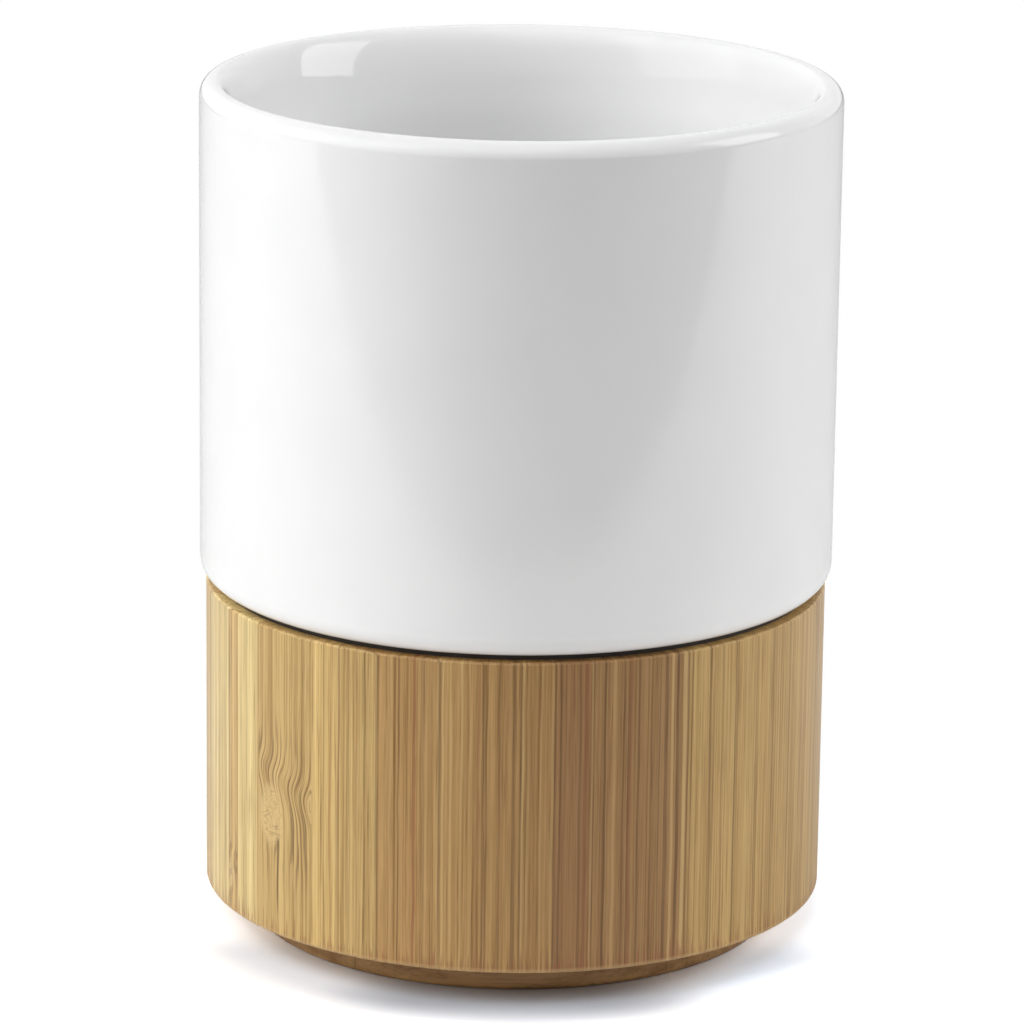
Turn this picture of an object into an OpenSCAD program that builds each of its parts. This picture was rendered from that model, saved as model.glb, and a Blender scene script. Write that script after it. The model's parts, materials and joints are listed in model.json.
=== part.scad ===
// Ceramic coffee cup that stands in a turned bamboo base.
// The glazed cup narrows to a neck that drops into the base. A dark silicone ring sits on
// the neck, grips the bore with its ribs and shows as a thin line between glaze and bamboo.
// The sleeve of the base is turned from a block of glued upright plies, and a disc with the
// foot on it is glued into its lower end.
// Millimetres, +Z up. The origin is the centre of the face that the cup stands on.

/* [Ceramic cup] */
// Outer diameter of the glazed wall
cup_d = 82; // [70:0.5:100]
// Height of the glazed wall, from the seam to the rim
wall_h = 64.8; // [45:0.1:90]
// Thickness of the wall below the lip
cup_wall = 5; // [4:0.1:7]
// Width of the full round lip
lip_w = 4; // [2.5:0.1:4]
// Height over which the wall thins to the lip, on the inside
lip_ease_h = 12; // [5:0.5:20]
// Radius of the wall's lower outer edge, above the seam
cup_edge_r = 2.7; // [1:0.1:5]
// Thickness of the shoulder where the wall steps in to the neck
shoulder_t = 4; // [3:0.1:7]
// Wall thickness of the neck
neck_wall = 3.4; // [2.5:0.1:5]
// Radius of the neck's lower outer edge
neck_edge_r = 3; // [1:0.1:5]
// Thickness of the cup's floor
cup_floor_t = 4; // [3:0.1:7]
// Radius between the floor and the wall, inside
bowl_r = 9; // [3:0.5:15]
// Width of the bare ring under the cup
foot_ring_w = 4; // [2:0.1:8]
// Height of the bare ring under the cup
foot_ring_h = 1.6; // [0.8:0.1:3]

/* [Silicone ring] */
// Thickness of the flange, which is the dark line of the seam
flange_t = 0.6; // [0.4:0.1:2]
// How far the flange stands back from the bamboo's face
flange_setback = 1.7; // [0.5:0.1:3]
// Thickness of the skirt around the neck
skirt_t = 0.8; // [0.7:0.1:1.5]
// Height of the skirt below the flange
skirt_h = 16; // [8:0.5:26]
// How far each grip rib stands out of the skirt
rib_h = 0.3; // [0.2:0.05:0.6]
// Number of grip ribs
rib_count = 4; // [1:1:7]

/* [Bamboo sleeve] */
// How far the bamboo stands back from the glazed wall
sleeve_setback = 0.8; // [0:0.1:2]
// Height of the sleeve
sleeve_h = 40.6; // [30:0.1:60]
// Thickness of the sleeve's wall
sleeve_wall = 4.5; // [3.5:0.1:7]
// Width of the eased edge at the top, outside
sleeve_bevel = 0.25; // [0.1:0.05:1]
// Radius of the lower outer edge
sleeve_edge_r = 0.6; // [0.2:0.1:3]
// Width of the lead-in at the mouth of the bore
bore_lead = 0.5; // [0.2:0.1:1.5]
// Direction that the plies face, turned from +X
ply_turn = 225; // [0:1:359]

/* [Base disc] */
// Height of the foot below the sleeve
foot_h = 4.4; // [2:0.1:8]
// How far the foot stands back from the bamboo's face
foot_setback = 6.3; // [5.5:0.1:14]
// Radius of the foot's lower edge
foot_edge_r = 0.6; // [0.2:0.1:1.5]
// Thickness of the disc inside the sleeve
disc_t = 6; // [3:0.1:10]
// Bevel round the top of the disc, which leads it into the bore
disc_bevel = 0.8; // [0.3:0.1:2]

/* [Fits] */
// Space between the ribs and the bore, so that the cup can be drawn out
slide_clear = 0.05; // [0.02:0.01:0.1]
// Space between the ring and the neck
ring_clear = 0.02; // [0.01:0.01:0.1]
// Glue space round the disc
glue_gap = 0.03; // [0.01:0.01:0.1]
// Space under the cup, so that its weight rests on the flange
neck_clear = 0.7; // [0.3:0.1:3]

/* [Hidden] */
$fn = 96;

// Glue joints of the block, from the back right to the front left, as shares of its radius
ply_joint_shares = [
    -0.93, -0.84, -0.74, -0.65, -0.55, -0.46, -0.36, -0.27, -0.17, -0.08, 0.02,
    0.11, 0.21, 0.31, 0.41, 0.51, 0.61, 0.69, 0.77, 0.85, 0.94
];
ply_count = len(ply_joint_shares) + 1;

// Overrun of every cut past the surface that it goes through
over = 1;

// Heights, from the table up
disc_top_z = foot_h + disc_t;
sleeve_top_z = foot_h + sleeve_h;
seam_z = sleeve_top_z + flange_t;
rim_z = seam_z + wall_h;
neck_foot_z = disc_top_z + neck_clear;
cup_floor_z = neck_foot_z + foot_ring_h + cup_floor_t;
ledge_z = seam_z + shoulder_t;

// Radii, from the glazed wall inwards
cup_r = cup_d / 2;
cup_in_r = cup_r - cup_wall;
lip_r = lip_w / 2;
sleeve_r = cup_r - sleeve_setback;
flange_r = sleeve_r - flange_setback;
bore_r = sleeve_r - sleeve_wall;
skirt_r = bore_r - slide_clear - rib_h;
neck_r = skirt_r - skirt_t;
neck_in_r = neck_r - neck_wall;
foot_ring_r = neck_r - neck_edge_r;
foot_r = sleeve_r - foot_setback;

// The two curves of the step inside the cup share its width
ledge_r = (cup_in_r - neck_in_r) / 2;

PLY_NODES = [for (i = [1 : ply_count]) str("bamboo_ply_", i < 10 ? "0" : "", i)];

// A rectangle of a half-section, between two radii and two heights
module band(r1, r2, z1, z2) {
    translate([r1, z1])
        square([r2 - r1, z2 - z1]);
}

// A round corner or bead of a half-section
module bead(r, z, radius) {
    translate([r, z])
        circle(radius);
}

// Half-section of the cup without its hollow: neck, rounded edges and wall
module cup_outside() {
    band(0, foot_ring_r, neck_foot_z, neck_foot_z + neck_edge_r);
    bead(foot_ring_r, neck_foot_z + neck_edge_r, neck_edge_r);
    band(0, neck_r, neck_foot_z + neck_edge_r, seam_z + cup_edge_r);
    band(0, cup_r - cup_edge_r, seam_z, seam_z + cup_edge_r);
    bead(cup_r - cup_edge_r, seam_z + cup_edge_r, cup_edge_r);
    band(0, cup_r, seam_z + cup_edge_r, rim_z - lip_r);
}

// Half-section of the cup's hollow: round floor, neck, soft step, wall and eased lip
module cup_hollow() {
    band(0, neck_in_r - bowl_r, cup_floor_z, cup_floor_z + bowl_r);
    bead(neck_in_r - bowl_r, cup_floor_z + bowl_r, bowl_r);
    band(0, neck_in_r, cup_floor_z + bowl_r, ledge_z);
    difference() {
        band(0, neck_in_r + ledge_r, ledge_z - ledge_r, ledge_z);
        bead(neck_in_r + ledge_r, ledge_z - ledge_r, ledge_r);
    }
    band(0, cup_in_r - ledge_r, ledge_z, ledge_z + ledge_r);
    bead(cup_in_r - ledge_r, ledge_z + ledge_r, ledge_r);
    band(0, cup_in_r, ledge_z + ledge_r, rim_z + over);
    polygon([
        [0, rim_z - lip_ease_h], [cup_in_r, rim_z - lip_ease_h],
        [cup_r - lip_w, rim_z - lip_r], [cup_r - lip_w, rim_z + over], [0, rim_z + over]
    ]);
}

module ceramic_cup() {
    color("white")
        rotate_extrude()
            union() {
                difference() {
                    cup_outside();
                    cup_hollow();
                    band(0, foot_ring_r - foot_ring_w, neck_foot_z - over, neck_foot_z + foot_ring_h);
                }
                bead(cup_r - lip_r, rim_z - lip_r, lip_r);
            }
}

// Flange in the seam, and a ribbed skirt down the neck
module grip_ring() {
    rib_pitch = skirt_h / (rib_count + 1);
    color("#2b2521")
        rotate_extrude() {
            band(neck_r + ring_clear, flange_r, sleeve_top_z, seam_z);
            band(neck_r + ring_clear, skirt_r, sleeve_top_z - skirt_h, seam_z);
            for (i = [1 : rib_count])
                bead(skirt_r, sleeve_top_z - i * rib_pitch, rib_h);
        }
}

// Disc that closes the sleeve, with the foot turned on its lower side
module base_disc() {
    disc_r = bore_r - glue_gap;
    color("#6f5031")
        rotate_extrude() {
            polygon([
                [0, foot_h], [disc_r, foot_h], [disc_r, disc_top_z - disc_bevel],
                [disc_r - disc_bevel, disc_top_z], [0, disc_top_z]
            ]);
            band(0, foot_r, foot_edge_r, foot_h);
            band(0, foot_r - foot_edge_r, 0, foot_edge_r);
            bead(foot_r - foot_edge_r, foot_edge_r, foot_edge_r);
        }
}

// The whole sleeve as the lathe leaves it
module turned_sleeve() {
    rotate_extrude() {
        polygon([
            [bore_r, foot_h], [sleeve_r - sleeve_edge_r, foot_h],
            [sleeve_r, foot_h + sleeve_edge_r], [sleeve_r, sleeve_top_z - sleeve_bevel],
            [sleeve_r - sleeve_bevel, sleeve_top_z], [bore_r + bore_lead, sleeve_top_z],
            [bore_r, sleeve_top_z - bore_lead]
        ]);
        bead(sleeve_r - sleeve_edge_r, foot_h + sleeve_edge_r, sleeve_edge_r);
    }
}

// Faces of the plies across the block, with the outer two past the turned surface
function ply_face(i) =
    i == 0 ? -sleeve_r - over
    : i == ply_count ? sleeve_r + over
    : ply_joint_shares[i - 1] * sleeve_r;

// One ply of the block. The bore leaves the middle ones as two pieces of wall
module bamboo_ply(i) {
    near = ply_face(i - 1);
    far = ply_face(i);
    reach = sleeve_r + over;
    color(i % 3 == 0 ? "#b98f58" : i % 3 == 1 ? "#cda76b" : "#c29a60")
        intersection() {
            turned_sleeve();
            rotate([0, 0, ply_turn])
                translate([near, -reach, foot_h - over])
                    cube([far - near, 2 * reach, sleeve_h + 2 * over]);
        }
}

ceramic_cup();
grip_ring();
base_disc();
for (i = [1 : ply_count])
    bamboo_ply(i);
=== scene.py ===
# %% [markdown]
# # A ceramic cup in a turned bamboo base
#
# The real object is a cup without a handle. Its glazed ceramic body narrows to a neck, the neck
# wears a dark silicone ring, and both drop into a base that was glued up from bamboo plies and
# turned on a lathe. The solids of all these pieces come in first, as a fixed frame in metres, so
# nothing has to be fitted later. This script adds a finer mesh for the glazed cup, the finish of
# every surface and the studio round it.

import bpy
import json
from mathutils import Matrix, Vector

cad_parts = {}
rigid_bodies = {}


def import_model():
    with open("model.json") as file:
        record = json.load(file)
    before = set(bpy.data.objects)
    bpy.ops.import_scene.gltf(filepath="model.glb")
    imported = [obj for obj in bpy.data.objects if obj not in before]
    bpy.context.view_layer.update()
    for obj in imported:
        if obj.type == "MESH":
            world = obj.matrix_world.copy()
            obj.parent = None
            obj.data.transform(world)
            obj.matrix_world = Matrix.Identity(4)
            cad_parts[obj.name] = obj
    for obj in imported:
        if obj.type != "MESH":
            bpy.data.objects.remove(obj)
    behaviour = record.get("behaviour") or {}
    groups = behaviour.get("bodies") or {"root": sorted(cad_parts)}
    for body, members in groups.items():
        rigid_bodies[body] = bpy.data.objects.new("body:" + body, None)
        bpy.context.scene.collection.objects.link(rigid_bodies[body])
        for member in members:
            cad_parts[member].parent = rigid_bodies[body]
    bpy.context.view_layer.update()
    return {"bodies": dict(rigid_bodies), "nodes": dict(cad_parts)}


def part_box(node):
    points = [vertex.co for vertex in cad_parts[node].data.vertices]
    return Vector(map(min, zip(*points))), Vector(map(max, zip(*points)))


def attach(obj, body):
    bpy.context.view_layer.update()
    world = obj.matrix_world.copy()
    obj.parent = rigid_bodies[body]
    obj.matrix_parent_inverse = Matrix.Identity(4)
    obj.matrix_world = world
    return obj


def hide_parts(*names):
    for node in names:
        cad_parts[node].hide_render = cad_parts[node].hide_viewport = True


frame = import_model()
print("nodes:", len(frame["nodes"]), "bodies:", ", ".join(frame["bodies"]))

# %% [markdown]
# ## Tools and units
#
# Blender's own Python modules do the rest. bmesh shapes a mesh step by step, and mathutils
# brings vectors and matrices. Blender counts in metres, but a cup is drawn in millimetres, so one
# value turns millimetres into metres wherever a size is written.

# %% Bring in Blender's modules
import json
import math

import bmesh
import bpy
from mathutils import Matrix, Vector

MM = 0.001
print("one millimetre is", MM, "of Blender's units")

# %% [markdown]
# ## The camera
#
# A long lens from some distance keeps the walls of the cup almost parallel, as a photographer
# does with tableware. The camera looks down a little, so that the rim opens to a narrow ellipse.
# Its place and angles could be set by eye, but here they follow from the outline of the rim, the
# seam and the foot, so the frame is filled as it should be.

# %% Set the camera
CAMERA_PLACE = Vector((0, -716.26, 248.14)) * MM
LENS_MM = 201.156
SENSOR_MM = 36.0
LOOK_DOWN = math.radians(15.206)
LOOK_LEFT = math.radians(0.046)
TILT = math.radians(0.71)

camera_data = bpy.data.cameras.new("camera")
camera_data.lens = LENS_MM
camera_data.sensor_width = SENSOR_MM
camera_data.clip_start = 10 * MM
camera = bpy.data.objects.new("camera", camera_data)
turn = (
    Matrix.Rotation(LOOK_LEFT, 4, "Z")
    @ Matrix.Rotation(math.radians(90) - LOOK_DOWN, 4, "X")
    @ Matrix.Rotation(TILT, 4, "Z")
)
camera.matrix_world = Matrix.Translation(CAMERA_PLACE) @ turn
bpy.context.collection.objects.link(camera)
scene = bpy.context.scene
scene.camera = camera
scene.view_settings.view_transform = "Standard"
print("the camera stands", round(CAMERA_PLACE.length, 3), "m away")

# %% [markdown]
# ## Sizes that the finishes follow
#
# Every size comes from the frame, so that a changed part keeps its finish. The plies of the
# bamboo all lie in parallel planes. The direction across those planes is known, and the extent
# of each ply along it gives the glue joints.

# %% Measure the frame
PLY_TURN = math.radians(225)
ACROSS = Vector((math.cos(PLY_TURN), math.sin(PLY_TURN), 0))
ALONG = Vector((-ACROSS.y, ACROSS.x, 0))

ply_nodes = [
    frame["nodes"][name] for name in sorted(frame["nodes"]) if name.startswith("bamboo_ply")
]
cup_low, cup_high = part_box("ceramic_cup")


def reach(node, direction):
    """The lowest and highest places of a node along a direction."""
    places = [vertex.co @ direction for vertex in node.data.vertices]
    return min(places), max(places)


ply_spans = [reach(node, ACROSS) for node in ply_nodes]
up = Vector((0, 0, 1))
sleeve_low_z = min(reach(node, up)[0] for node in ply_nodes)
sleeve_r = ply_spans[-1][1]
cup_r = cup_high[0]
rim_z = cup_high[2]
seam_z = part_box("grip_ring")[1][2]
print("sleeve radius", round(sleeve_r / MM, 2), "mm, plies", len(ply_nodes))

# %% [markdown]
# ## The glazed cup
#
# A cup of this kind is turned or cast in one piece: an even wall with a full round lip, a soft
# lower edge that overhangs the bamboo, and a narrower neck under it. A body of rotation asks for
# its half outline and one spin about the axis. The outline is drawn with sharp corners first,
# and each corner is then rounded with its own radius by a vertex bevel. That keeps the numbers
# few, and the arcs get as many segments as the highlights on the glaze need.

# %% Draw the half outline of the cup
WALL = 5.0 * MM
LIP_TOP = 2.0 * MM
LIP_EASE = 12.0 * MM
LIP_OUT_R = 1.99 * MM
LOWER_EDGE_R = 2.7 * MM
SHOULDER = 4.0 * MM
NECK_WALL = 3.4 * MM
NECK_EDGE_R = 3.0 * MM
FLOOR = 4.0 * MM
BOWL_R = 9.0 * MM
FOOT_RING_W = 4.0 * MM
FOOT_RING_H = 1.6 * MM
NECK_R = 34.55 * MM

neck_in_r = NECK_R - NECK_WALL
wall_in_r = cup_r - WALL
foot_z = cup_low[2]
foot_ring_r = NECK_R - NECK_EDGE_R
hollow_z = foot_z + FOOT_RING_H
floor_z = hollow_z + FLOOR
ledge_z = seam_z + SHOULDER
ledge_r = (wall_in_r - neck_in_r) / 2

# Each corner is a radius, a height and the rounding that it gets. The rounding WHOLE reaches as
# far as both neighbours, which makes the long, soft ease inside the lip
WHOLE = -1
CUP_OUTLINE = [
    (0, hollow_z, 0),
    (foot_ring_r - FOOT_RING_W, hollow_z, 0.5 * MM),
    (foot_ring_r - FOOT_RING_W, foot_z, 0.4 * MM),
    (NECK_R, foot_z, NECK_EDGE_R),
    (NECK_R, seam_z, 0.3 * MM),
    (cup_r, seam_z, LOWER_EDGE_R),
    (cup_r, rim_z, LIP_OUT_R),
    (cup_r - LIP_TOP, rim_z, 0),
    (wall_in_r, rim_z, WHOLE),
    (wall_in_r, rim_z - LIP_EASE, 0),
    (wall_in_r, ledge_z, ledge_r * 0.98),
    (neck_in_r, ledge_z, ledge_r * 0.98),
    (neck_in_r, floor_z, BOWL_R),
    (0, floor_z, 0),
]


def round_corner(bm, corner, rounding, segments):
    """Rounds one corner of a flat outline."""
    whole = rounding == WHOLE
    bmesh.ops.bevel(
        bm, geom=[corner], offset=99.5 if whole else rounding,
        offset_type="PERCENT" if whole else "OFFSET", affect="VERTICES",
        segments=segments, profile=0.5, material=-1,
    )


def half_outline(bm, corners, finest):
    """A flat face with rounded corners, on the plane of X and Z."""
    points = [bm.verts.new((r, 0, z)) for r, z, rounding in corners]
    bm.faces.new(points)
    for point, (r, z, rounding) in zip(points, corners):
        if rounding:
            size = LIP_EASE if rounding == WHOLE else rounding
            segments = max(4, math.ceil(size * math.pi / 2 / finest))
            round_corner(bm, point, rounding, min(segments, 48))


outline = bmesh.new()
half_outline(outline, CUP_OUTLINE, 0.12 * MM)
print("points in the half outline:", len(outline.verts))

# %% [markdown]
# ### From outline to cup
#
# The flat face goes, its edges stay, and the edge on the axis goes as well. A full spin then
# sweeps the outline round and merges its ends. Doubled points on the axis are merged too, and
# the faces are turned outwards, because a spin can leave them inside out.

# %% Spin the cup
SPIN_STEPS = 288


def spin_outline(bm, steps):
    """Turns the edges of an outline once about the axis and closes the ends."""
    bmesh.ops.delete(bm, geom=list(bm.faces), context="FACES_ONLY")
    on_axis = [edge for edge in bm.edges if all(abs(vertex.co.x) < 1e-7 for vertex in edge.verts)]
    bmesh.ops.delete(bm, geom=on_axis, context="EDGES")
    bmesh.ops.spin(
        bm, geom=list(bm.verts) + list(bm.edges), cent=(0, 0, 0), axis=(0, 0, 1),
        angle=math.tau, steps=steps, use_merge=True,
    )
    bmesh.ops.remove_doubles(bm, verts=list(bm.verts), dist=1e-6)
    bmesh.ops.recalc_face_normals(bm, faces=list(bm.faces))


def finish_piece(name, bm, material, body):
    """A smooth object from a bmesh, riding on a body."""
    mesh = bpy.data.meshes.new(name)
    for face in bm.faces:
        face.smooth = True
    bm.to_mesh(mesh)
    bm.free()
    piece = bpy.data.objects.new(name, mesh)
    piece.data.materials.append(material)
    bpy.context.collection.objects.link(piece)
    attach(piece, body)
    print(name, "has", len(mesh.polygons), "faces")
    return piece


spin_outline(outline, SPIN_STEPS)
print("faces after the spin:", len(outline.faces))

# %% [markdown]
# ## Writing materials as sums
#
# A material is a small calculation at each point of a surface. Here a Python class stands for
# one socket, and its operators add the Math nodes, so a mask reads like a formula. A recipe is
# the page that the sums are written on. It belongs to a material or to the world, and every
# other node comes from one method of it, which sets the node up first and then feeds its sockets.

# %% A socket with operators


class Wire:
    """One output of a node. Its operators add Math nodes."""

    def __init__(self, recipe, socket):
        self.recipe = recipe
        self.socket = socket

    def math(self, operation, *others):
        sockets = dict(enumerate((self,) + others))
        return self.recipe.add("ShaderNodeMath", {"operation": operation}, sockets)

    def __add__(self, other):
        return self.math("ADD", other)

    def __sub__(self, other):
        return self.math("SUBTRACT", other)

    def __rsub__(self, other):
        return self.recipe.add("ShaderNodeMath", {"operation": "SUBTRACT"}, {0: other, 1: self})

    def __mul__(self, other):
        return self.math("MULTIPLY", other)

    def __truediv__(self, other):
        return self.math("DIVIDE", other)

    def __pow__(self, other):
        return self.math("POWER", other)

    def __abs__(self):
        return self.math("ABSOLUTE")

    def __rtruediv__(self, other):
        return self.recipe.add("ShaderNodeMath", {"operation": "DIVIDE"}, {0: other, 1: self})

    def beside(self, name):
        """Another output of the same node."""
        return Wire(self.recipe, self.socket.node.outputs[name])

    def above(self, limit):
        return self.math("GREATER_THAN", limit)

    def clamp(self):
        return self.recipe.add("ShaderNodeClamp", {}, {"Value": self})

    def step(self, low, high):
        """0 below low and 1 above high, with a soft change between."""
        settings = {"interpolation_type": "SMOOTHSTEP"}
        ends = (1.0, 0.0) if low > high else (0.0, 1.0)
        sockets = {
            "Value": self, "From Min": min(low, high), "From Max": max(low, high),
            "To Min": ends[0], "To Max": ends[1],
        }
        return self.recipe.add("ShaderNodeMapRange", settings, sockets)

    __radd__ = __add__
    __rmul__ = __mul__


print("a socket knows these signs: + - * / **")

# %% [markdown]
# ### The page that the sums stand on
#
# A recipe clears the nodes of its owner and writes its own. Most materials start from the point
# on the piece and end in one Principled shader, so both have a short name here. So have the
# nodes that glaze and bamboo need again and again: a noise, a mix of two colours and a bump.

# %% A recipe of nodes
BUMP_MM = 0.02


class Recipe:
    """The nodes of one material, or of the world."""

    def __init__(self, owner):
        self.owner = owner
        owner.use_nodes = True
        self.tree = owner.node_tree
        self.tree.nodes.clear()

    def here(self):
        """The point on the piece, as one vector and as three numbers."""
        place = self.add("ShaderNodeTexCoord", output="Object")
        across = self.add("ShaderNodeSeparateXYZ", sockets={0: place})
        return place, across, across.beside("Y"), across.beside("Z")

    def add(self, kind, settings=None, sockets=None, output=0):
        """Any node: its type, its settings, the values or links of its sockets."""
        node = self.tree.nodes.new(kind)
        for key, value in (settings or {}).items():
            setattr(node, key, value)
        for key, value in (sockets or {}).items():
            if isinstance(value, Wire):
                self.tree.links.new(value.socket, node.inputs[key])
            else:
                node.inputs[key].default_value = value
        return Wire(self, node.outputs[output]) if node.outputs else None

    def join(self, x, y, z):
        return self.add("ShaderNodeCombineXYZ", sockets={0: x, 1: y, 2: z})

    def mix(self, share, one, other, blend="MIX"):
        """Two colours mixed by a share."""
        settings = {"data_type": "RGBA", "blend_type": blend, "clamp_result": True}
        return self.add("ShaderNodeMix", settings, {0: share, 6: one, 7: other}, output=2)

    def bump(self, height, strength):
        """Relief of a few hundredths of a millimetre, for the Normal of a shader."""
        sockets = {"Strength": strength, "Distance": BUMP_MM * MM, "Height": height}
        return self.add("ShaderNodeBump", {}, sockets)

    def noise(self, place, detail, rough=0.5, twist=0.0):
        """Noise at a place whose cells are one unit wide."""
        sockets = {
            "Vector": place, "Scale": 1.0, "Detail": detail, "Roughness": rough,
            "Distortion": twist,
        }
        return self.add("ShaderNodeTexNoise", {}, sockets)

    def surface(self, normal=None, **sockets):
        """The Principled shader. Underscores stand for the blanks in socket names."""
        named = {key.replace("_", " "): value for key, value in sockets.items()}
        if normal:
            named["Normal"] = normal
        shader = self.add("ShaderNodeBsdfPrincipled", {}, named)
        self.add("ShaderNodeOutputMaterial", {}, {"Surface": shader})
        return self.owner


def new_recipe(name):
    """A recipe for a new material."""
    return Recipe(bpy.data.materials.new(name))


print("a recipe can write any node")

# %% [markdown]
# ## White glaze
#
# A clear white glaze is smooth but never a perfect mirror. It pools and thins a little, which
# bends reflections by a hair. A band on the lower edge of the wall is painted whiter, a painted
# highlight for the light that it catches from the table, and the inner wall just below the lip is
# painted greyer, as painted shade. The glaze is wiped off the ring that the cup stood on in the
# kiln, and there the bare clay shows, cream and dull. One noise and a few masks of height and
# radius make all of it.

# %% Make the glaze
GLAZE_THIN = (0.86, 0.862, 0.866, 1)
GLAZE_THICK = (0.9, 0.9, 0.9, 1)
# Painted highlight: a whiter band on the lower edge of the wall, for the light from the table
PAINTED_HIGHLIGHT_WHITE = (0.97, 0.97, 0.97, 1)
# Painted shade: a greyer band on the inner wall just below the lip
INSIDE_PAINTED_SHADE = (0.795, 0.795, 0.795, 1)
BARE_CLAY = (0.72, 0.66, 0.56, 1)
POOL_CELLS = 90.0
# Where the painted highlight on the lower edge of the wall fades in and where it is full
HIGHLIGHT_TOP = 3.2 * MM
HIGHLIGHT_FULL = 0.8 * MM
# Where the painted shade inside the lip lies and how it fades
INSIDE_R = wall_in_r + 1.8 * MM
INSIDE_SOFT = 0.9 * MM
INSIDE_TOP = 4.0 * MM
INSIDE_FADE = 11.0 * MM
BARE_TOP = 0.6 * MM
BARE_FULL = 0.35 * MM
GLAZE_ROUGH = 0.06
CLAY_ROUGHER = 0.7
GLAZE_IOR = 1.55
GLAZE_BUMP = 0.25


def white_glaze():
    recipe = new_recipe("white_glaze")
    place, x, y, z = recipe.here()
    cells = recipe.add("ShaderNodeVectorMath", {"operation": "SCALE"}, {0: place, 3: POOL_CELLS})
    waves = recipe.noise(cells, detail=1.0)
    bare = z.step(foot_z + BARE_TOP, foot_z + BARE_FULL)
    # Painted highlight along the lower edge of the wall
    painted_highlight = z.step(seam_z + HIGHLIGHT_TOP, seam_z + HIGHLIGHT_FULL) * z.step(seam_z - BARE_FULL, seam_z)
    from_axis = (x * x + y * y) ** 0.5
    # Painted shade on the inner wall just below the lip
    inside = from_axis.step(INSIDE_R + INSIDE_SOFT, INSIDE_R - INSIDE_SOFT)
    inside = inside * z.step(rim_z - INSIDE_FADE, rim_z - INSIDE_TOP)
    colour = recipe.mix(waves, GLAZE_THIN, GLAZE_THICK)
    colour = recipe.mix(inside, colour, INSIDE_PAINTED_SHADE)
    colour = recipe.mix(painted_highlight, colour, PAINTED_HIGHLIGHT_WHITE)
    colour = recipe.mix(bare, colour, BARE_CLAY)
    rough = GLAZE_ROUGH + CLAY_ROUGHER * bare
    bump = recipe.bump(waves, GLAZE_BUMP)
    return recipe.surface(normal=bump, Base_Color=colour, Roughness=rough, IOR=GLAZE_IOR)


cup = finish_piece("glazed_cup", outline, white_glaze(), "cup")
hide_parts("ceramic_cup")

# %% [markdown]
# ## Dark silicone
#
# The ring is moulded silicone rubber: dark brown, dull, with a faint bloom. Only its flange
# shows while the cup sits in its base.

# %% Make the silicone
SILICONE_DARK = (0.02, 0.016, 0.013, 1)
SILICONE_BLOOM = (0.034, 0.028, 0.023, 1)
BLOOM_CELLS = 700.0
SILICONE_ROUGH = 0.55
BLOOM_ROUGHER = 0.12
SILICONE_BUMP = 0.3


def dark_silicone():
    recipe = new_recipe("dark_silicone")
    place = recipe.here()[0]
    cells = recipe.add("ShaderNodeVectorMath", {"operation": "SCALE"}, {0: place, 3: BLOOM_CELLS})
    bloom = recipe.noise(cells, detail=2.0)
    colour = recipe.mix(bloom, SILICONE_DARK, SILICONE_BLOOM)
    rough = SILICONE_ROUGH + BLOOM_ROUGHER * bloom
    bump = recipe.bump(bloom, SILICONE_BUMP)
    return recipe.surface(normal=bump, Base_Color=colour, Roughness=rough)


def dress(nodes, material):
    """Gives CAD nodes a material in their own slots."""
    for node in nodes:
        for place in node.material_slots:
            place.material = material


dress([frame["nodes"]["grip_ring"]], dark_silicone())
print("dressed the ring")

# %% [markdown]
# ## Laminated bamboo
#
# Bamboo boards are planed strips, glued side by side and in layers. Each strip has its own tone,
# from straw to caramel, and inside it run the vessels: long, thin, darker lines along the grain.
# Where a strip held a node of the cane, the lines swerve round a pale scar. A texture image would
# repeat and stretch on the turned surface. Here the pattern is worked out in space instead, so
# the planes of the plies run on over the edges and into the bore.

# %% Tones of the strips
TONES = {
    "pale": (0.665, 0.495, 0.21),
    "cream": (0.57, 0.38, 0.138),
    "straw": (0.535, 0.345, 0.122),
    "oat": (0.49, 0.322, 0.116),
    "honey": (0.46, 0.287, 0.1),
    "amber": (0.41, 0.235, 0.08),
    "toast": (0.36, 0.2, 0.066),
    "brown": (0.325, 0.176, 0.062),
    "russet": (0.3, 0.155, 0.055),
}
DARK_FIBRE = (0.1, 0.042, 0.013)
VESSEL = (0.22, 0.1, 0.028)
RED_FIBRE = (0.25, 0.075, 0.032)
LIGHT_FIBRE = (0.66, 0.46, 0.19)
BLOTCH = (0.66, 0.47, 0.2)

# One tone for each ply, from the back right to the front left: first the ends that show on the
# right side of the sleeve, then those on its left side. The honey right ends of the first plies,
# which show on the far right of the sleeve, are partly painted shade for the light that falls off
# towards that edge
RIGHT_TONES_AND_SHADE = (
    "honey straw honey straw honey honey honey honey honey honey honey honey "
    "honey brown brown brown russet toast amber amber amber cream"
).split()
LEFT_TONES = (
    "straw honey straw amber honey straw pale honey amber straw honey brown "
    "amber honey straw honey straw straw pale straw pale straw"
).split()

# The front left ply shows its broad face, so its strips show side by side: where each begins
# along the ply, in millimetres, and its tone
FACE_STRIPS = [(-99, "straw"), (-11.1, "pale"), (-6.3, "oat"), (4.4, "cream"), (7.9, "oat")]
BACK_STRIPS = [(-99, "honey"), (-9.5, "straw"), (3.0, "amber"), (12.0, "straw")]

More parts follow.
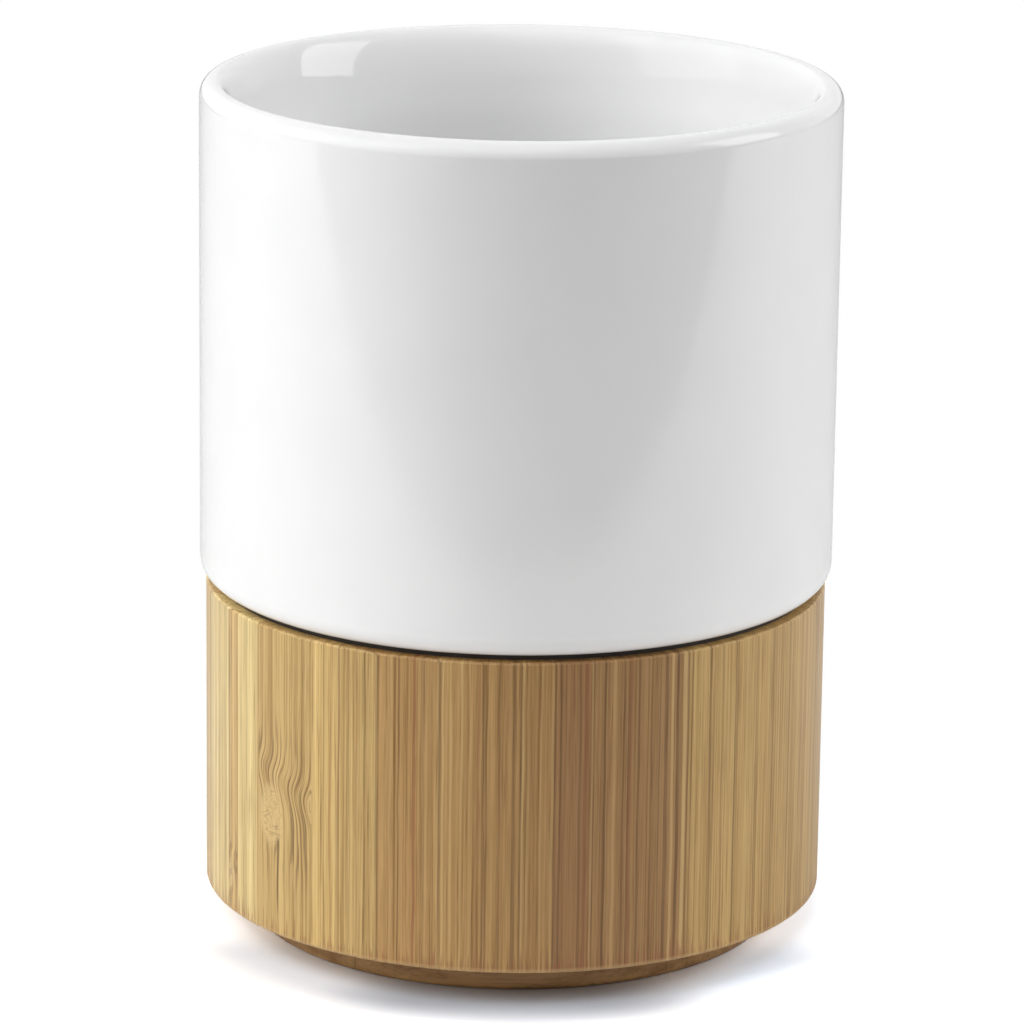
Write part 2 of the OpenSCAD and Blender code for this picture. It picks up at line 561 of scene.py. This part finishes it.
# Single fibres that stand out, by their colour: the angle round the sleeve, the width in
# millimetres and the strength
FIBRES = {
    DARK_FIBRE: [
        (-66.5, 0.35, 0.4), (-57.7, 0.5, 0.25), (-36.3, 0.25, 0.4), (-33.0, 0.25, 0.45),
        (-30.9, 0.2, 0.4), (-27.6, 0.25, 0.4), (-20.8, 0.22, 0.65), (-16.3, 0.5, 0.35),
        (-14.6, 0.2, 0.35), (-4.7, 0.24, 0.5), (-2.4, 0.24, 0.5), (0.2, 0.5, 0.5),
        (8.3, 0.24, 0.5), (11.8, 0.2, 0.55),
        (16.5, 0.26, 0.75), (19.9, 0.2, 0.5), (22.9, 0.26, 0.6), (25.4, 0.3, 0.4),
        (28.2, 0.4, 0.7), (30.6, 0.35, 0.7),
        (33.6, 0.2, 0.5), (37.9, 0.3, 0.5), (40.7, 0.24, 0.45), (44.0, 0.3, 0.35),
        (48.8, 0.24, 0.25), (53.5, 0.2, 0.35), (60.5, 0.3, 0.35), (75.0, 0.3, 0.4),
        (97.0, 0.3, 0.45), (112.0, 0.24, 0.5), (139.0, 0.3, 0.5), (178.0, 0.3, 0.45),
        (-97.0, 0.24, 0.5), (-131.0, 0.35, 0.45), (-149.0, 0.24, 0.5),
    ],
    RED_FIBRE: [
        (-34.7, 0.3, 0.4), (-29.2, 0.3, 0.35), (-17.9, 0.34, 0.75), (-6.2, 0.3, 0.4),
        (12.9, 0.5, 0.4), (21.2, 0.4, 0.4), (124.0, 0.4, 0.5), (-103.0, 0.3, 0.5),
    ],
    LIGHT_FIBRE: [
        (-22.4, 0.3, 0.4), (-15.7, 0.3, 0.2), (-13.4, 0.3, 0.6), (-12.6, 0.24, 0.6),
        (-11.2, 0.24, 0.5), (-9.2, 0.3, 0.5), (-7.7, 0.24, 0.4),
        (1.7, 0.3, 0.55), (2.6, 0.24, 0.35), (5.0, 0.24, 0.35), (6.9, 0.24, 0.3),
        (14.2, 0.24, 0.4), (18.2, 0.3, 0.35), (26.8, 0.3, 0.2), (29.5, 0.3, 0.6),
        (32.0, 0.5, 0.8), (35.6, 0.3, 0.4),
        (42.0, 0.3, 0.4), (47.2, 0.8, 0.4), (151.0, 0.3, 0.5), (-158.0, 0.3, 0.5),
        (-118.0, 0.3, 0.5),
    ],
}

print("tones:", len(TONES), "single fibres:", sum(len(lines) for lines in FIBRES.values()))

# %% [markdown]
# ### Where the cane had a node
#
# Two strips of the front left ply were cut across a node. The vessels bend aside above it, the
# node itself is a pale, curly blotch, and a crack runs down from it. The lines are bent by
# moving the point at which the pattern is read, so every fibre swerves together.

# %% Bend the fibres round a node
NODE_SCARS = [
    {
        "strip": (-6.3, 4.4), "height": 26.8, "slant": -0.35, "bend": 1.0, "tall": 2.3,
        "blotch": (-3.3, 20.3, 2.5, 4.4),
    },
    {
        "strip": (-16.5, -11.1), "height": 13.0, "slant": -0.3, "bend": 0.6, "tall": 1.6,
        "blotch": (-13.6, 9.5, 1.3, 2.4),
    },
]
CRACK = {
    "along": -1.9, "top": 17.0, "opens": 1.0, "foot": 5.5, "closes": 5.0, "width": 0.26,
    "dark": 0.8,
}


def soft_spot(across, up, middle, half_wide, half_tall):
    """1 in the middle of an oval spot and 0 outside it."""
    far = ((across - middle[0]) / half_wide) ** 2.0 + ((up - middle[1]) / half_tall) ** 2.0
    return far.step(1.2, 0.4)


def bend_at(scar, along, z):
    """How far the fibres stand aside, in millimetres, how dark they are, and the blotch."""
    left, right = scar["strip"]
    inside = along.step(left, left + 0.5) * along.step(right, right - 0.5)
    off = (z - scar["height"] - scar["slant"] * (along - left)) / scar["tall"]
    swell = (off * off * -1.0).math("EXPONENT")
    drawn = inside * off.step(-7.0, -3.0) * off.step(5.5, 0.5)
    middle_along, middle_z, wide, tall = scar["blotch"]
    blotch = soft_spot(along, z, (middle_along, middle_z), wide, tall) * inside
    return inside * swell * scar["bend"], drawn, blotch


print("knuckles on the front left ply:", len(NODE_SCARS))

# %% [markdown]
# ### The layers of the grain
#
# Seen close, bamboo is bundles of fibres in a paler ground. Bands a few millimetres wide drift
# along the whole height, finer lines lie in them, and short dark dashes are the vessels that the
# lathe cut open. Each layer is the same noise, drawn out along the grain by its own width and
# length. A power below 1 leaves a layer mostly pale, with a few crisp dark lines in it. The sum
# darkens the tone of the strip. Its green and blue fall faster than its red, so that a dark line
# is also a warmer one.

# %% Draw out the grain
# The layers, from broad bands to hairs: width and length in millimetres, weight and power
GRAIN = {
    "broad": (2.2, 160.0, 0.17, 1.0),
    "middle": (0.75, 110.0, 0.25, 0.8),
    "thin": (0.26, 60.0, 0.42, 0.5),
    "dash": (0.2, 11.0, 0.24, 0.6),
    "hair": (0.12, 3.5, 0.12, 1.0),
}
DARKEST = 0.3
GREEN_FALL = 1.22
BLUE_FALL = 1.6
VESSEL_SHARE = 0.36
NOISE_STRETCH = 2.4


def spread(noise):
    """Noise bunches round a half, so this stretches it to about 0 to 1."""
    return ((noise - 0.5) * NOISE_STRETCH + 0.5).clamp()


def fibre_noise(recipe, spot, width, length, seed):
    """Noise that is drawn out along the grain: the width and length of its fibres, in mm."""
    x, y, z = spot
    place = recipe.join(x / width + seed, y / width, z / length + seed)
    return spread(recipe.noise(place, detail=1.0, rough=0.6))


def grained(recipe, colour, spot, seed):
    """The colour of a strip with its grain, and the layers of the grain by name."""
    layers = {}
    shade = DARKEST
    for index, (name, (width, length, weight, power)) in enumerate(GRAIN.items()):
        layers[name] = fibre_noise(recipe, spot, width, length, seed + index)
        shade = shade + weight * layers[name] ** power
    tint = recipe.join(shade, shade ** GREEN_FALL, shade ** BLUE_FALL)
    colour = recipe.mix(1.0, colour, tint, "MULTIPLY")
    layers["vessels"] = layers["dash"].step(0.28, 0.1) * layers["middle"].step(0.75, 0.35)
    return recipe.mix(layers["vessels"] * VESSEL_SHARE, colour, VESSEL + (1,)), layers


print("layers of grain:", ", ".join(GRAIN))

# %% [markdown]
# ### Single fibres
#
# A few fibres stand out on their own: a dark or reddish one at the edge of a strip, or a pale
# one. They sit at fixed angles round the sleeve, so that each ply keeps its own look, and they
# wander by a fraction of a millimetre and fade in places, as real ones do.

# %% Draw the single fibres
MM_PER_DEGREE = math.radians(1) * sleeve_r / MM
FIBRE_REACH = 0.6
FIBRE_FADE = 0.4
FIBRE_OUTSIDE = 0.75
FIBRE_INSIDE = 0.35


def touches(angle, span):
    """Does a fibre at this angle lie on the ply between these planes?"""
    side = math.radians(angle)
    place = Vector((math.sin(side), -math.cos(side), 0)) @ ACROSS * sleeve_r / MM
    return span[0] - FIBRE_REACH < place < span[1] + FIBRE_REACH


def lined(recipe, colour, angle, span, fade):
    """A ply's colour with its single fibres."""
    fading = (1 - FIBRE_FADE) + FIBRE_FADE * fade
    for tone, lines in FIBRES.items():
        for place, width, strength in lines:
            if touches(place, span):
                apart = abs(angle - place) * MM_PER_DEGREE
                line = apart.step(width * FIBRE_OUTSIDE, width * FIBRE_INSIDE)
                colour = recipe.mix(line * fading * strength, colour, tone + (1,))
    return colour


print("one degree round the sleeve is", round(MM_PER_DEGREE, 2), "mm")

# %% [markdown]
# ### Knuckles and the crack
#
# Above a node the fibres run together in waves, and the node itself is a pale blotch with fine,
# worm-like marks. A sine of the bent fibres gives the waves, and a thin slice of a twisted noise
# gives the marks. The crack is one dark fibre that is open at its top and closes downwards.

# %% Colour the knuckles
WAVE_MM = 0.95
WAVE_PALE = 0.3
WORM_MM = 1.5
WORM_DARK = 0.35
BLOTCH_SHARE = 0.8


def knuckled(recipe, colour, spot, curls, layers, wander, fade):
    """A ply's colour with the waves above each knuckle and the blotch on it."""
    x, y, z = spot
    for drawn, blotch in curls:
        bent = x * ALONG.x + y * ALONG.y + wander
        wave = ((bent + 0.35 * layers["thin"] + 1.1 * fade) * (math.tau / WAVE_MM)).math("SINE")
        deep = 0.35 + 0.4 * layers["middle"]
        colour = recipe.mix(drawn * wave.step(0.25, 0.95) * deep, colour, DARK_FIBRE + (1,))
        crest = wave.step(-0.5, -0.95) * WAVE_PALE
        colour = recipe.mix(drawn * crest, colour, LIGHT_FIBRE + (1,))
        place = recipe.join(x / WORM_MM, y / WORM_MM, z / (0.8 * WORM_MM))
        curl = recipe.noise(place, detail=0.0, twist=1.2)
        worm = abs(curl - 0.5).step(0.05, 0.015)
        pale = recipe.mix(worm * WORM_DARK, BLOTCH + (1,), DARK_FIBRE + (1,))
        colour = recipe.mix(blotch * BLOTCH_SHARE, colour, pale)
    return colour


def cracked(recipe, colour, along, z, wander):
    """A ply's colour with the crack that runs down from its knuckle."""
    top, foot, width = CRACK["top"], CRACK["foot"], CRACK["width"]
    run = z.step(top + CRACK["opens"], top) * z.step(foot, foot + CRACK["closes"])
    crack = abs(along - CRACK["along"] + wander).step(width, width * 0.3)
    return recipe.mix(crack * run * CRACK["dark"], colour, DARK_FIBRE + (1,))


print("waves of the fibres:", WAVE_MM, "mm apart")

# %% [markdown]
# ### The lower end of the sleeve
#
# Sandpaper breaks the lower edge, and just above it the cut fibres stand up in reddish points of
# uneven height. The rounded lower edge is painted pale, as a painted highlight along it. Both
# follow the height above the end, so they run round the whole sleeve.

# %% Fray the lower end and paint its highlight
FRAY_MM = 3.4
FRAY_CELL = (0.28, 30.0)
FRAY_RED = 0.5
EASED_MM = 0.85
EASED_SOFT = 0.5
# Painted highlight along the rounded lower edge
EDGE_HIGHLIGHT = 0.35


def worn_and_highlit(recipe, colour, spot, seed):
    """A ply's colour with its frayed lower end and the painted highlight along its edge."""
    above_end = spot[2] - sleeve_low_z / MM
    frayed = fibre_noise(recipe, spot, *FRAY_CELL, seed)
    fray = (above_end - FRAY_MM * frayed * frayed).step(0.5, -0.8) * frayed.step(0.35, 0.6)
    colour = recipe.mix(fray * FRAY_RED, colour, RED_FIBRE + (1,))
    # Painted highlight along the rounded lower edge
    edge_highlight = above_end.step(EASED_MM, EASED_MM - EASED_SOFT)
    return recipe.mix(edge_highlight * EDGE_HIGHLIGHT, colour, LIGHT_FIBRE + (1,))


print("the end is worn up to", FRAY_MM, "mm")

# %% [markdown]
# ### One ply
#
# Every ply gets a material of its own, because its strips, single fibres and joints differ. The
# recipe goes from large to small: the tone of the strips, the grain, the single fibres, the dark
# line of glue, the knuckles, and the frayed lower end with its painted highlight. The lacquer is a
# thin coat over wood that is a little rough, and the grain is felt as a bump of a few hundredths
# of a millimetre.

# %% Dress the plies
GLUE_MM = 0.14
GLUE_CORE_MM = 0.03
GLUE_DARK = 0.25
GLUE_DARKER = 0.45
SEED_STEP = 7.3
# The noises that move and fade the single fibres: the width and height of their cells, in mm
WANDER_CELL = (3.0, 14.0)
WANDER_MM = 0.5
FADE_CELL = (1.5, 14.0)
BAMBOO_BUMP = 0.35
BAMBOO_ROUGH = 0.46
FIBRE_SMOOTHER = 0.1
LACQUER = {"Specular_IOR_Level": 0.32, "Coat_Weight": 0.3, "Coat_Roughness": 0.22, "Coat_IOR": 1.45}


def strips_of(number):
    """Where the strips of a ply begin along it, and their tones."""
    if number == len(ply_nodes):
        return FACE_STRIPS
    if number == 1:
        return BACK_STRIPS
    # The right tones are partly painted shade on the far right of the sleeve
    return [(-99, LEFT_TONES[number - 1]), (0, RIGHT_TONES_AND_SHADE[number - 1])]


def glue_line(across, span, number):
    """1 at the joints of a ply. The outer plies have a joint on one side only."""
    inner = across - span[0] if number > 1 else span[1] - across
    outer = span[1] - across if number < len(ply_nodes) else across - span[0]
    return inner.math("MINIMUM", outer).step(GLUE_MM, GLUE_CORE_MM)


def strip_colour(recipe, along, number):
    """The tones of a ply's strips, side by side."""
    strips = strips_of(number)
    colour = TONES[strips[0][1]] + (1,)
    for edge, tone in strips[1:]:
        colour = recipe.mix(along.above(edge), colour, TONES[tone] + (1,))
    return colour


def bent_spot(spot, along, number):
    """The point at which a ply's pattern is read, and what its knuckles do there."""
    x, y, z = spot
    curls = []
    for scar in NODE_SCARS if number == len(ply_nodes) else []:
        bend, drawn, blotch = bend_at(scar, along, z)
        x = x + bend * ALONG.x
        y = y + bend * ALONG.y
        curls.append((drawn, blotch))
    return (x, y, z), curls


def relief(layers, glue):
    """The height of the wood: fibres stand up, glue lines and open vessels lie deep."""
    fibres = layers["thin"] + 0.6 * layers["dash"] + 0.5 * layers["hair"]
    return fibres - 1.5 * glue - 1.2 * layers["vessels"]


def sleeve_bamboo(number):
    """The material of one ply, by its number from the back right."""
    recipe = new_recipe(f"sleeve_bamboo_{number:02d}")
    x, y, z = (part / MM for part in recipe.here()[1:])
    across = x * ACROSS.x + y * ACROSS.y
    along = x * ALONG.x + y * ALONG.y
    angle = x.math("ARCTAN2", y * -1.0) * math.degrees(1)
    span = [place / MM for place in ply_spans[number - 1]]
    seed = SEED_STEP * number + 4
    spot, curls = bent_spot((x, y, z), along, number)
    colour, layers = grained(recipe, strip_colour(recipe, along, number), spot, seed)

    wide, tall = WANDER_CELL
    drift = recipe.join(spot[0] / wide, spot[1] / wide, z / tall)
    wander = (recipe.noise(drift, detail=1.0) - 0.5) * WANDER_MM
    fade = fibre_noise(recipe, spot, *FADE_CELL, seed + len(GRAIN))
    colour = lined(recipe, colour, angle + wander / MM_PER_DEGREE, span, fade)
    glue = glue_line(across, span, number)
    colour = recipe.mix(glue * (GLUE_DARK + GLUE_DARKER * fade), colour, DARK_FIBRE + (1,))
    if curls:
        colour = knuckled(recipe, colour, spot, curls, layers, wander, fade)
        colour = cracked(recipe, colour, along, z, wander)
    colour = worn_and_highlit(recipe, colour, spot, seed + len(GRAIN) + 1)

    bump = recipe.bump(relief(layers, glue), BAMBOO_BUMP)
    rough = BAMBOO_ROUGH - FIBRE_SMOOTHER * layers["thin"]
    return recipe.surface(normal=bump, Base_Color=colour, Roughness=rough, **LACQUER)


for index, node in enumerate(ply_nodes):
    dress([node], sleeve_bamboo(index + 1))
print("dressed", len(ply_nodes), "plies")

# %% [markdown]
# ### The foot
#
# The disc lies with its fibres level, so its edge shows long vessels at the front and back and
# their cut ends, as dots, on the left and right. Its tones are darker than those of the sleeve.

# %% The bamboo of the foot
FOOT_STRIP_MM = 11.0
FOOT_BROWN = (0.27, 0.14, 0.05, 1)
FOOT_TAN = (0.45, 0.265, 0.105, 1)
FOOT_DARK = 0.35
FOOT_ROUGH = 0.5
# The cells of the two noises along x, y and z, in millimetres
FOOT_BANDS = (60.0, 2.0, 1.4)
FOOT_VESSELS = (16.0, 0.4, 0.3)


def level_noise(recipe, spot, cells, rough):
    """Noise that is drawn out along x, as the level fibres of the disc are."""
    place = recipe.join(*(part / cell for part, cell in zip(spot, cells)))
    return spread(recipe.noise(place, detail=2.0, rough=rough))


def foot_bamboo():
    """The material of the disc."""
    recipe = new_recipe("foot_bamboo")
    spot = [part / MM for part in recipe.here()[1:]]
    broad = level_noise(recipe, spot, FOOT_BANDS, 0.5)
    thin = level_noise(recipe, spot, FOOT_VESSELS, 0.6)
    strip = (spot[1] / FOOT_STRIP_MM + 0.5).math("FRACT")
    glue = strip.math("MINIMUM", 1 - strip).step(0.012, 0.004)
    colour = recipe.mix(broad, FOOT_BROWN, FOOT_TAN)
    colour = recipe.mix(thin.step(0.45, 0.1) * FOOT_DARK, colour, DARK_FIBRE + (1,))
    colour = recipe.mix(glue * FOOT_DARK, colour, DARK_FIBRE + (1,))
    rough = FOOT_ROUGH - FIBRE_SMOOTHER * thin
    bump = recipe.bump(thin, BAMBOO_BUMP)
    return recipe.surface(normal=bump, Base_Color=colour, Roughness=rough, **LACQUER)


dress([frame["nodes"]["base_disc"]], foot_bamboo())
print("dressed the foot")

# %% [markdown]
# ## The studio
#
# Tableware is shot on a white sweep between large soft lights. The lamps stay at a plain level,
# so that each finish renders about as it is written, and the white behind the cup comes from
# what the camera sees of the floor and the world, not from more light.

# %% Light the world
WORLD_LEVEL = 0.15
WHITE = (1, 1, 1, 1)

studio = Recipe(bpy.data.worlds.new("studio"))
camera_ray = studio.add("ShaderNodeLightPath", output="Is Camera Ray")
mirror_ray = camera_ray.beside("Is Glossy Ray")
clear_ray = camera_ray.beside("Is Transmission Ray")
seen = camera_ray.math("MAXIMUM", mirror_ray.math("MAXIMUM", clear_ray))
level = WORLD_LEVEL + seen * (1 - WORLD_LEVEL)
sky = studio.add("ShaderNodeBackground", {}, {"Color": WHITE, "Strength": level})
studio.add("ShaderNodeOutputWorld", {}, {"Surface": sky})
scene.world = studio.owner
print("the world lights the cup with", WORLD_LEVEL, "and is seen as 1")

# %% [markdown]
# ### The sweep
#
# The cup stands on a pale table before a dark room, which the glaze mirrors: the near edge of
# the table draws the darker, curved patch down the middle of the wall. The camera sees something
# else, a floor that keeps the cup's own shadow and turns pure white a few centimetres away. That
# shadow is painted deeper beside and before the foot, and painted light brightens the floor on
# the cup's right. The kind of ray decides which of the two floors it meets, so one disc is both.

# %% Lay the floor
FLOOR_R = 3.0
FLOOR_DROP = 0.05 * MM
TABLE_MIDDLE = (-0.075, 2.25, 0)
TABLE_R = 2.48
TABLE_BACK = 0.12
TABLE_SOFT = 0.02
ROOM_GREY = 0.06
TABLE_GREY = 0.8
BACK_GREY = 0.12
FLOOR_SIDES = 128

# What the camera sees of the floor changes between these places, in metres: R is the distance
# from the axis, X runs to the right and Y to the back
SHADOW_R = 0.04
DEEP_R = (SHADOW_R + 0.012, SHADOW_R)
DEEP_Y = (-0.01, -0.022)
NEAR_R = (SHADOW_R + 0.03, SHADOW_R)
RIGHT_X = (0.018, 0.032)
WHITE_R = (0.06, 0.11)
WHITE_BEHIND_R = (0.038, 0.052)
WHITE_BEHIND_Y = (-0.012, 0.006)

# How bright that floor is, how much deeper its painted shadow gets beside and before the foot,
# how much painted light brightens it on the cup's right, and how much green and blue are added
# near the cup and on its right
SHADOW_BRIGHT = 1.6
PAINTED_SHADOW_DEEP = 0.6
PAINTED_SHADOW_DEEPER = 0.5
BEFORE = (0.78, 0.97)
PAINTED_LIGHT_RIGHT = 0.3
NEAR_TINT = (0.03, 0.09)
RIGHT_TINT = (0.11, 0.24)


def flat_disc(name, radius, height):
    """A flat, round piece of the studio."""
    bm = bmesh.new()
    bmesh.ops.create_circle(bm, cap_ends=True, segments=FLOOR_SIDES, radius=radius)
    bmesh.ops.translate(bm, verts=bm.verts, vec=(0, 0, height))
    mesh = bpy.data.meshes.new(name)
    bm.to_mesh(mesh)
    bm.free()
    disc = bpy.data.objects.new(name, mesh)
    bpy.context.collection.objects.link(disc)
    return disc


def plain_grey(place, y):
    """The floor that lights the cup and shows in its glaze."""
    from_middle = place.recipe.add(
        "ShaderNodeVectorMath", {"operation": "DISTANCE"}, {0: place, 1: TABLE_MIDDLE}, output=1
    )
    table = from_middle.step(TABLE_R + TABLE_SOFT, TABLE_R - TABLE_SOFT)
    behind = y.step(TABLE_BACK - 2 * TABLE_SOFT, TABLE_BACK + 2 * TABLE_SOFT)
    return ROOM_GREY + table * (TABLE_GREY - BACK_GREY * behind)


def shadow_tint(recipe, from_cup, x, y):
    """The floor that the camera sees near the cup: its painted shadow is deepest and bluest right
    beside the foot, and painted light brightens it on the right.
    """
    before = (y / from_cup * -1.0).step(*BEFORE)
    beside = from_cup.step(*DEEP_R) * y.step(*DEEP_Y)
    right = x.step(*RIGHT_X)
    near = from_cup.step(*NEAR_R)
    # Painted shadow, deeper beside and before the foot, and painted light on the cup's right
    share = (SHADOW_BRIGHT - beside * (PAINTED_SHADOW_DEEP + PAINTED_SHADOW_DEEPER * before)) * (1 + PAINTED_LIGHT_RIGHT * right)
    green = share + NEAR_TINT[0] * near + RIGHT_TINT[0] * right
    blue = share + NEAR_TINT[1] * near + RIGHT_TINT[1] * right
    return recipe.join(share, green, blue)


def white_share(from_cup, y):
    """Where the floor is pure white: far from the cup, and behind it beyond the sleeve."""
    behind = from_cup.step(*WHITE_BEHIND_R) * y.step(*WHITE_BEHIND_Y)
    return from_cup.step(*WHITE_R).math("MAXIMUM", behind)


def matte(recipe, colour):
    """A surface that only scatters light."""
    sockets = {"Base Color": colour, "Roughness": 1.0, "Specular IOR Level": 0.0}
    return recipe.add("ShaderNodeBsdfPrincipled", {}, sockets)


def floor_white():
    """The material of the sweep: one floor for the camera and one for every other ray."""
    recipe = new_recipe("floor_white")
    place, x, y = recipe.here()[:3]
    camera_ray = recipe.add("ShaderNodeLightPath", output="Is Camera Ray")
    from_cup = recipe.add("ShaderNodeVectorMath", {"operation": "LENGTH"}, {0: place}, output=1)
    plain = matte(recipe, plain_grey(place, y))
    bright = matte(recipe, shadow_tint(recipe, from_cup, x, y))
    white = recipe.add("ShaderNodeEmission", {}, {"Strength": 1.0})
    share = white_share(from_cup, y)
    swept = recipe.add("ShaderNodeMixShader", {}, {0: share, 1: bright, 2: white})
    seen = recipe.add("ShaderNodeMixShader", {}, {0: camera_ray, 1: plain, 2: swept})
    recipe.add("ShaderNodeOutputMaterial", {}, {"Surface": seen})
    return recipe.owner


floor = flat_disc("floor", FLOOR_R, -FLOOR_DROP)
floor.data.materials.append(floor_white())
print("the floor is", 2 * FLOOR_R, "m across")

# %% [markdown]
# ### Lamps with a soft shine
#
# A photographer hangs silk in front of each lamp, so its mirror image in the glaze is dim beside
# the light that it gives. Here each lamp is a pair, one close behind the other. Both light the
# cup, but only the first of them, which holds a share of the power, shows in reflections. They
# stand two centimetres apart, because a ray meets only one of two lamps in the same place.

# %% Place the lamps
LAMP_AIM = Vector((0, 0, 0.06))
LAMP_FAR = {"shine": 1.0, "fill": 1.02}

# Name, turn and rise in degrees, width and height in metres, watts, and the share that shines
LAMPS = [
    ("left_lamp", -75, 30, 0.9, 0.8, 8.6, 0.2),
    ("right_lamp", 88, 24, 0.5, 0.6, 5.8, 0.4),
    ("top_lamp", -28, 55, 1.0, 0.8, 3.3, 0.5),
    ("back_left_lamp", -150, 30, 0.5, 0.5, 0.55, 0.3),
    ("back_right_lamp", 150, 30, 0.5, 0.5, 0.55, 0.3),
]


def soft_light(name, turn, rise, width, height, watts, shine):
    """A pair of oblong lamps that look at the cup."""
    side, lift = math.radians(turn), math.radians(rise)
    way = Vector((math.sin(side), -math.cos(side), 0)) * math.cos(lift) + up * math.sin(lift)
    for part, share in (("shine", shine), ("fill", 1 - shine)):
        data = bpy.data.lights.new(f"{name}_{part}", "AREA")
        data.shape = "RECTANGLE"
        data.size = width
        data.size_y = height
        data.energy = watts * share
        lamp = bpy.data.objects.new(data.name, data)
        lamp.location = LAMP_AIM + way * LAMP_FAR[part]
        lamp.rotation_euler = way.to_track_quat("Z", "Y").to_euler()
        lamp.visible_glossy = part == "shine"
        bpy.context.collection.objects.link(lamp)


for lamp in LAMPS:
    soft_light(*lamp)
